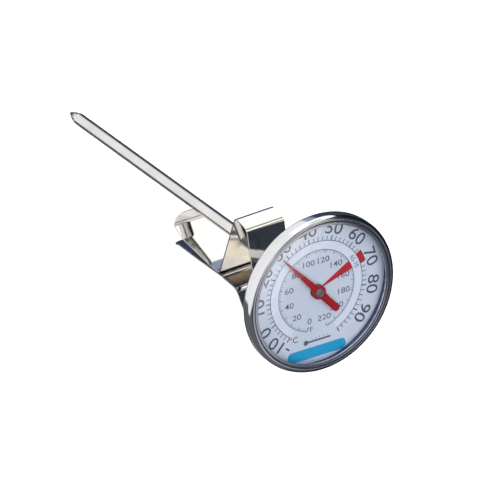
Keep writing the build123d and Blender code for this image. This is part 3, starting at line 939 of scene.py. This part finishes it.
# name, azimuths, elevations, radius, strength and colour of each card
CARDS = (
    # broad white light on the twelve o'clock and nine o'clock sides
    ("card_key", (46, 100), (-41, 48), 1.5, 1.3, WHITE),
    ("card_key_soft", (100, 206), (-41, 48), 1.5, 1.02, WHITE),
    ("card_low", (66, 206), (-78, -41), 1.5, 1.0, WHITE),
    # dimmer cards at both ends of the broad ones
    ("card_low_pale", (52, 66), (-78, -41), 1.5, 1.0, PALE_BLUE),
    ("card_low_blue", (38, 52), (-78, -41), 1.5, 1.0, DEEP_BLUE),
    ("card_low_grey", (206, 255), (-78, -36), 1.5, 0.14, SLATE),
    *RISE_CARDS,
    ("card_low_end", (313, 330), (-78, -36), 1.5, 0.1, SLATE),
    ("card_left_grey", (206, 280), (-36, 49), 1.5, 0.14, SLATE),
    # overhead cards
    ("card_top", (60, 200), (50, 85), 1.6, 5.0, WHITE),
    ("card_sky", (60, 214), (48, 90), 1.55, 1.0, WHITE),
    # the dark side, towards three o'clock, and the high cards above it that the lip mirrors
    ("card_side", (-80, -5), (36, 46.5), 1.7, 0.22, VIOLET),
    ("card_side_dark", (-66, 46), (-25, 36), 1.7, 0.015, DUSK),
    ("card_lip", (-80, -49), (46.5, 90), 1.6, 0.5, SLATE),
    ("card_lip_near", (-49, -40), (53, 90), 1.6, 0.8, WHITE),
    # small cards, mostly for the clip to mirror
    ("card_end", (-39, -27), (53, 66), 1.6, 0.93, WHITE),
    ("card_flare", (-27, -18), (53, 66), 1.6, 0.13, BROWN),
    ("card_gold", (-27, -18), (60.4, 60.9), 1.55, 0.65, GOLD),
    ("card_face_dark", (60, 74), (14.5, 31), 1.45, 0.33, SHADE),
    ("card_face_cream", (60, 74), (4.5, 14.5), 1.45, 1.25, CREAM),
    ("card_fill", (5, 45), (54, 72), 1.6, 0.9, WHITE),
)
# glare in steps that grow brighter upwards, the last one taller than the others
GLARE_AZIMUTHS, GLARE_RADIUS = (-49, -41), 1.5
GLARE_START, GLARE_STEP, GLARE_TOP = 49.2, 0.25, 53
GLARE_STRENGTHS = (1.2, 2.8, 5.0, 7.0)


def direction(azimuth, elevation):
    """Unit vector at degrees anticlockwise from +X, and degrees above the dial's plane."""
    a, e = math.radians(azimuth), math.radians(elevation)
    return Vector((math.cos(a) * math.cos(e), math.sin(a) * math.cos(e), math.sin(e)))


def build_camera():
    """Long lens that looks down on the dial from half past ten."""
    back = direction(CAMERA_AZIMUTH, CAMERA_ELEVATION)
    right = Vector((0, 1, 0)).cross(back).normalized()
    up = back.cross(right)
    facing = Matrix((right, up, back)).transposed()
    roll = Matrix.Rotation(math.radians(CAMERA_ROLL), 3, "Z")
    camera = bpy.data.objects.new("camera", bpy.data.cameras.new("camera"))
    bpy.context.scene.collection.objects.link(camera)
    camera.data.lens = CAMERA_LENS
    camera.data.sensor_width = 36.0
    camera.data.clip_start = 0.1
    camera.data.clip_end = 20.0
    eye = (CAMERA_TARGET + back * CAMERA_DISTANCE) * MM
    camera.matrix_world = Matrix.Translation(eye) @ (facing @ roll).to_4x4()
    bpy.context.scene.camera = camera
    bpy.context.scene.view_settings.view_transform = "Standard"


def emitter(name, colour, strength):
    """A material that only glows."""
    material = bpy.data.materials.new(name)
    material.use_nodes = True
    tree = material.node_tree
    tree.nodes.remove(tree.nodes["Principled BSDF"])
    glow = node(tree, "ShaderNodeEmission")
    glow.inputs["Color"].default_value = (*colour, 1)
    glow.inputs["Strength"].default_value = strength
    tree.links.new(glow.outputs["Emission"], tree.nodes["Material Output"].inputs["Surface"])
    return material


def card(name, azimuths, elevations, radius, strength, colour=WHITE):
    """A curved card between two azimuths and two elevations in degrees, hidden from the camera."""
    bm = bmesh.new()
    columns, rows = 24, 12
    grid = []
    for i in range(columns + 1):
        azimuth = azimuths[0] + (azimuths[1] - azimuths[0]) * i / columns
        ring = []
        for k in range(rows + 1):
            elevation = elevations[0] + (elevations[1] - elevations[0]) * k / rows
            ring.append(bm.verts.new(direction(azimuth, elevation) * radius))
        grid.append(ring)
    for left, right in zip(grid, grid[1:]):
        for k in range(rows):
            bm.faces.new((left[k], right[k], right[k + 1], left[k + 1]))
    mesh = bpy.data.meshes.new(name)
    bm.to_mesh(mesh)
    bm.free()
    piece = mesh_object(name, mesh)
    mesh.materials.append(emitter(name, colour, strength))
    piece.visible_camera = False
    piece.visible_shadow = False
    return piece


def build_floor():
    """A pale floor well below the stem's tip, clear from beneath and not mirrored by the steel."""
    bm = bmesh.new()
    bmesh.ops.create_grid(bm, x_segments=1, y_segments=1, size=FLOOR_HALF)
    bmesh.ops.translate(bm, verts=bm.verts, vec=(0, 0, FLOOR_Z))
    mesh = bpy.data.meshes.new("floor")
    bm.to_mesh(mesh)
    bm.free()
    floor = mesh_object("floor", mesh)
    material, tree, shader = principled("floor_white", (0.9, 0.9, 0.9), 0.9)
    shader.inputs["Emission Color"].default_value = (*WHITE, 1)
    shader.inputs["Emission Strength"].default_value = 0.5
    mix = node(tree, "ShaderNodeMixShader")
    tree.links.new(node(tree, "ShaderNodeNewGeometry").outputs["Backfacing"], mix.inputs["Fac"])
    tree.links.new(shader.outputs["BSDF"], mix.inputs[1])
    tree.links.new(node(tree, "ShaderNodeBsdfTransparent").outputs["BSDF"], mix.inputs[2])
    tree.links.new(mix.outputs["Shader"], tree.nodes["Material Output"].inputs["Surface"])
    mesh.materials.append(material)
    floor.visible_glossy = False


def build_backdrop():
    """A white sphere that only the camera sees, for views from low down."""
    bm = bmesh.new()
    bmesh.ops.create_uvsphere(bm, u_segments=48, v_segments=24, radius=BACKDROP_R)
    mesh = bpy.data.meshes.new("backdrop")
    bm.to_mesh(mesh)
    bm.free()
    backdrop = mesh_object("backdrop", mesh)
    mesh.materials.append(emitter("backdrop_white", WHITE, 0.95))
    backdrop.visible_diffuse = False
    backdrop.visible_glossy = False
    backdrop.visible_shadow = False


def build_world():
    """Dim blue surroundings, which the steel mirrors where no card stands."""
    world = bpy.data.worlds.new("studio")
    world.use_nodes = True
    background = world.node_tree.nodes["Background"]
    background.inputs["Color"].default_value = (*WORLD_COLOUR, 1)
    background.inputs["Strength"].default_value = WORLD_STRENGTH
    bpy.context.scene.world = world


def build_cards():
    """The studio's cards. The top card only lights, and the sky card is only mirrored."""
    for name, azimuths, elevations, radius, strength, colour in CARDS:
        card(name, azimuths, elevations, radius, strength, colour)
    bpy.data.objects["card_top"].visible_glossy = False
    bpy.data.objects["card_sky"].visible_diffuse = False


def build_glare():
    """Bright narrow cards that light nothing but the window."""
    glazing = bpy.data.collections.new("glazing")
    glazing.objects.link(bpy.data.objects["window"])
    last = len(GLARE_STRENGTHS) - 1
    for step, strength in enumerate(GLARE_STRENGTHS):
        low = GLARE_START + GLARE_STEP * step
        high = low + GLARE_STEP if step < last else GLARE_TOP
        glare = card(f"card_glare_{step}", GLARE_AZIMUTHS, (low, high), GLARE_RADIUS, strength)
        glare.light_linking.receiver_collection = glazing


build_case()
build_bezel()
build_window()
build_dial()
build_band()
build_celsius_scale()
build_fahrenheit_scale()
build_zone()
build_badge()
build_pointer()
build_cap()
build_stem()
build_tip()
build_clip()
finish_kept_nodes()
build_camera()
build_floor()
build_backdrop()
build_world()
build_cards()
build_glare()
